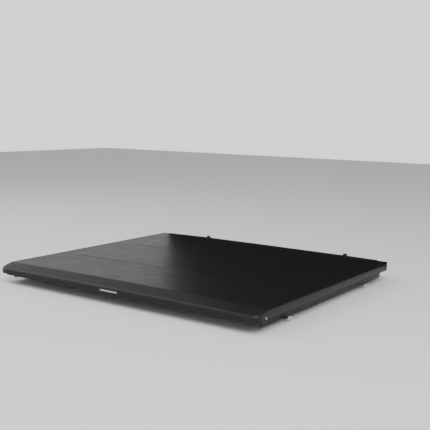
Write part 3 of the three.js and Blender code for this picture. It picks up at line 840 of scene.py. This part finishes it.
class COVER_OT_clamps(bpy.types.Operator):
    """Makes the four bed-rail clamps with threaded bolts"""
    bl_idname = "cover.clamps"
    bl_label = "Clamps"

    def execute(self, context):
        for side_name, _ in SIDES:
            for end in ("rear", "front"):
                name = side_name + "_" + end
                softened("clamp_bracket_" + name, 0.0006)
                softened("clamp_jaw_" + name, 0.0009)
                self.bolt("clamp_bolt_" + name)
        return {"FINISHED"}

    def bolt(self, node):
        low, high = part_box(node)
        x, y = (low.x + high.x) / 2, (low.y + high.y) / 2
        pitch, outer, root, sides, steps = THREAD_PITCH, THREAD_OUTER, THREAD_ROOT, 24, 4
        head = 0.0055
        rings = [(0.0066, low.z), (0.0073, low.z + 0.0006), (0.0073, low.z + head - 0.0005),
                 (0.0066, low.z + head), (outer, low.z + head)]
        vertices, faces = [], []
        for number, (radius, z) in enumerate(rings):
            for k in range(sides):
                turn = 2 * math.pi * k / sides
                flat = math.cos(math.pi / 6) / math.cos((turn % (math.pi / 3)) - math.pi / 6)
                r = radius * (flat if number < 4 else 1)
                vertices.append((x + r * math.cos(turn), y + r * math.sin(turn), z))
        count = int((high.z - low.z - head - 0.001) / (pitch / steps))
        for level in range(count):
            z = low.z + head + 0.0005 + level * pitch / steps
            for k in range(sides):
                turn = 2 * math.pi * k / sides
                phase = (level / steps - k / sides) % 1.0
                r = root + (outer - root) * abs(2 * phase - 1)
                vertices.append((x + r * math.cos(turn), y + r * math.sin(turn), z))
        total = len(rings) + count
        for k in range(sides):
            turn = 2 * math.pi * k / sides
            vertices.append((x + 0.003 * math.cos(turn), y + 0.003 * math.sin(turn), high.z))
        for ring in range(total):
            for k in range(sides):
                a, b = ring * sides + k, ring * sides + (k + 1) % sides
                faces.append((a, b, b + sides, a + sides))
        faces.append(tuple(range(sides))[::-1])
        faces.append(tuple(range(total * sides, (total + 1) * sides)))
        piece = new_piece(node + "_piece", vertices, faces, "zinc_steel", smooth=False)
        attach(piece, BODY_OF[node])
        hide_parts(node)


# ---- Stage ----
CAMERA_PLACE = (2.503, -3.4279, 0.9578)
CAMERA_TURNS = (34.9078, 7.6648, 0.8861)    # azimuth, pitch and roll in degrees
CAMERA_LENS = 62.23
FLOOR_REACH = 12.0
FLOOR_Z = -0.001
# A dark card where the cab would stand, seen only in reflections: its place and two of its (x, z) corners.
CARD_Y = 0.8
CARD_LOW = (-0.86, 0.07)
CARD_HIGH = (1.3, 1.7)


def plane(name, corners, colour, rough):
    material = bpy.data.materials.new(name)
    material.use_nodes = True
    shader = material.node_tree.nodes["Principled BSDF"]
    shader.inputs["Base Color"].default_value = (*colour, 1)
    shader.inputs["Roughness"].default_value = rough
    mesh = bpy.data.meshes.new(name)
    mesh.from_pydata(corners, [], [(0, 1, 2, 3)])
    mesh.materials.append(material)
    item = bpy.data.objects.new(name, mesh)
    bpy.context.scene.collection.objects.link(item)
    return item


def softbox(name, place, target, size, power):
    light = bpy.data.lights.new(name, "AREA")
    light.shape = "RECTANGLE"
    light.size, light.size_y = size
    light.energy = power
    item = bpy.data.objects.new(name, light)
    item.location = place
    item.rotation_euler = (Vector(target) - Vector(place)).to_track_quat("-Z", "Y").to_euler()
    bpy.context.scene.collection.objects.link(item)


class COVER_OT_stage(bpy.types.Operator):
    """Sets the floor, the light and the camera"""
    bl_idname = "cover.stage"
    bl_label = "Stage"

    def execute(self, context):
        stage = context.scene.cover_stage
        ground = [(x * FLOOR_REACH, y * FLOOR_REACH, FLOOR_Z) for x, y in ((-1, -1), (1, -1), (1, 1), (-1, 1))]
        plane("floor", ground, stage.floor, 0.7)
        (left, low), (right, high) = CARD_LOW, CARD_HIGH
        corners = ((left, low), (right, low), (right, high), (left, high))
        card = plane("dark_card", [(x, CARD_Y, z) for x, z in corners], (0.004, 0.004, 0.004), 0.9)
        for flag in ("visible_camera", "visible_diffuse", "visible_shadow"):
            setattr(card, flag, False)
        world = context.scene.world or bpy.data.worlds.new("World")
        context.scene.world = world
        world.use_nodes = True
        sky = world.node_tree.nodes["Background"]
        sky.inputs["Strength"].default_value = stage.sky
        self.even_sky(world.node_tree, sky.inputs["Color"])
        softbox("key", (2.5, -2.5, 4.2), (0, 0, 0), (4.5, 4.5), 280)
        softbox("fill", (-3.6, -1.6, 3.6), (0, 0, 0), (4.0, 4.0), 150)
        self.camera(context)
        return {"FINISHED"}

    def even_sky(self, tree, socket):
        """White round the horizon, falling to grey overhead."""
        place, split = tree.nodes.new("ShaderNodeTexCoord"), tree.nodes.new("ShaderNodeSeparateXYZ")
        ramp = tree.nodes.new("ShaderNodeValToRGB")
        tree.links.new(place.outputs["Generated"], split.inputs[0])
        tree.links.new(split.outputs["Z"], ramp.inputs["Fac"])
        ramp.color_ramp.elements[0].position, ramp.color_ramp.elements[1].position = 0.22, 0.6
        ramp.color_ramp.elements[0].color = (1.0, 1.0, 1.0, 1)
        ramp.color_ramp.elements[1].color = (0.26, 0.27, 0.28, 1)
        tree.links.new(ramp.outputs["Color"], socket)

    def camera(self, context):
        azimuth, pitch, roll = (math.radians(a) for a in CAMERA_TURNS)
        flat = math.cos(pitch)
        ahead = Vector((-math.sin(azimuth) * flat, math.cos(azimuth) * flat, -math.sin(pitch)))
        level = Vector((math.cos(azimuth), math.sin(azimuth), 0))
        upward = level.cross(ahead)
        right = level * math.cos(roll) + upward * math.sin(roll)
        top = upward * math.cos(roll) - level * math.sin(roll)
        lens = bpy.data.cameras.new("camera")
        lens.lens = CAMERA_LENS
        lens.sensor_width = 36
        item = bpy.data.objects.new("camera", lens)
        turned = Matrix((right, top, -ahead)).transposed().to_4x4()
        item.matrix_world = Matrix.Translation(CAMERA_PLACE) @ turned
        context.scene.collection.objects.link(item)
        context.scene.camera = item


STEPS = (COVER_OT_stage, COVER_OT_sheet, COVER_OT_stitching, COVER_OT_rails, COVER_OT_corners, COVER_OT_header,
         COVER_OT_bows, COVER_OT_rear_bar, COVER_OT_clamps)


class COVER_PT_panel(bpy.types.Panel):
    """Lists the pieces of the cover and the sizes and colours they use"""
    bl_idname = "COVER_PT_panel"
    bl_label = "Tonneau Cover"
    bl_space_type = "VIEW_3D"
    bl_region_type = "UI"
    bl_category = "Cover"

    def draw(self, context):
        for step in STEPS:
            self.layout.operator(step.bl_idname)
        for group in (context.scene.cover_sizes, context.scene.cover_colours, context.scene.cover_stage):
            for key in group.bl_rna.properties.keys():
                if key not in ("rna_type", "name"):
                    self.layout.prop(group, key)


GROUPS = (("cover_sizes", CoverSizes), ("cover_colours", CoverColours), ("cover_stage", StageSettings))
CLASSES = (CoverSizes, CoverColours, StageSettings, *STEPS, COVER_PT_panel)


def register():
    for item in CLASSES:
        bpy.utils.register_class(item)
    for name, group in GROUPS:
        setattr(bpy.types.Scene, name, bpy.props.PointerProperty(type=group))


def unregister():
    for name, _ in GROUPS:
        delattr(bpy.types.Scene, name)
    for item in reversed(CLASSES):
        bpy.utils.unregister_class(item)


def main():
    register()
    for step in STEPS:
        area, call = step.bl_idname.split(".")
        getattr(getattr(bpy.ops, area), call)()


if __name__ == "__main__":
    main()
